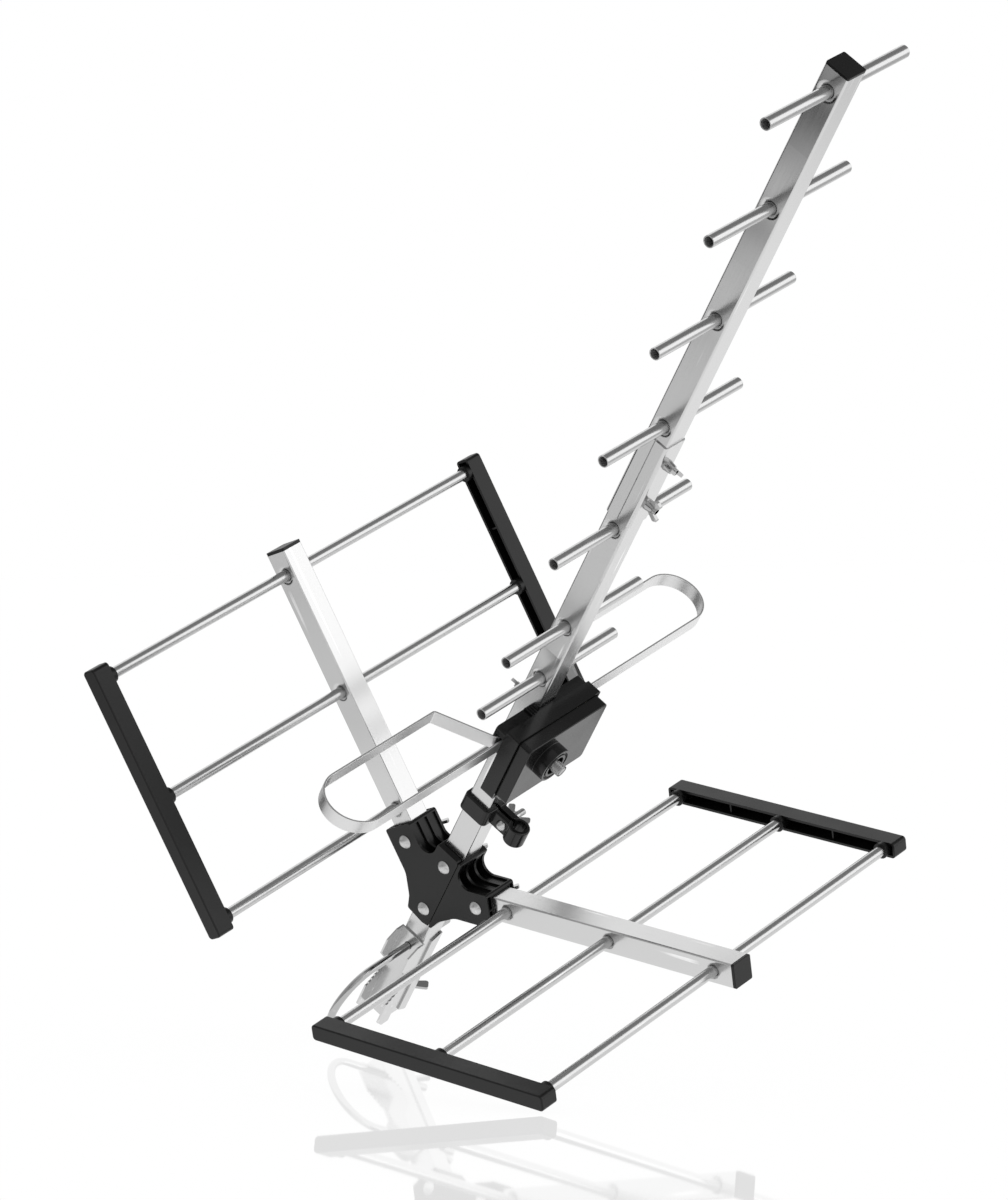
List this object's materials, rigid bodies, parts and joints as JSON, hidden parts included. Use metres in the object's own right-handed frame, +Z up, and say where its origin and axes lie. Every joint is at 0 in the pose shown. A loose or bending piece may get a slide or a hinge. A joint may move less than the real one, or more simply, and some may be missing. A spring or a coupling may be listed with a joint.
{
  "type": "outdoor tv antenna",
  "caption": "Outdoor TV antenna: aluminium boom with short director tubes, folded dipole with balun box, corner reflector and a mast clamp.",
  "frame": {"origin": "on the mast's axis, at the height of the boom's centreline", "axes": "+X forward along the boom towards the directors, +Y along the elements from the mast towards the boom, +Z up along the mast"},
  "size_m": [0.991, 0.437, 0.4932],
  "materials": {
    "tube_aluminium": "satin",
    "black_plastic": "satin",
    "zinc_steel": "satin",
    "nickel_connector": "polished",
    "board_laminate": "matte",
    "ferrite": "matte"
  },
  "bodies": {
    "root": {"boom_front": "tube_aluminium", "boom_rear": "tube_aluminium", "joint_channel_upper": "tube_aluminium", "joint_channel_lower": "tube_aluminium", "dipole": "tube_aluminium", "reflector_arm_upper": "tube_aluminium", "reflector_arm_lower": "tube_aluminium", "director_1": "tube_aluminium", "director_2": "tube_aluminium", "director_3": "tube_aluminium", "director_4": "tube_aluminium", "director_5": "tube_aluminium", "director_6": "tube_aluminium", "director_7": "tube_aluminium", "reflector_rod_upper_1": "tube_aluminium", "reflector_rod_lower_1": "tube_aluminium", "reflector_rod_upper_2": "tube_aluminium", "reflector_rod_lower_2": "tube_aluminium", "reflector_rod_upper_3": "tube_aluminium", "reflector_rod_lower_3": "tube_aluminium", "boom_end_cap": "black_plastic", "balun_body": "black_plastic", "balun_lid": "black_plastic", "bracket_upper": "black_plastic", "bracket_lower": "black_plastic", "arm_cap_upper": "black_plastic", "arm_cap_lower": "black_plastic", "end_bar_upper_right": "black_plastic", "end_bar_upper_left": "black_plastic", "end_bar_lower_left": "black_plastic", "end_bar_lower_right": "black_plastic", "boom_clip": "black_plastic", "joint_bolts": "zinc_steel", "joint_wing_nuts": "zinc_steel", "contact_posts": "zinc_steel", "box_bolt": "zinc_steel", "box_wing_nut": "zinc_steel", "bracket_bolts": "zinc_steel", "bracket_wing_nuts": "zinc_steel", "clip_bolt": "zinc_steel", "clip_wing_nut": "zinc_steel", "clamp_jaw": "zinc_steel", "clamp_channel": "zinc_steel", "u_bolt": "zinc_steel", "clamp_wing_nuts": "zinc_steel", "f_connector": "nickel_connector", "circuit_board": "board_laminate", "balun_core": "ferrite"}
  },
  "joints": []
}
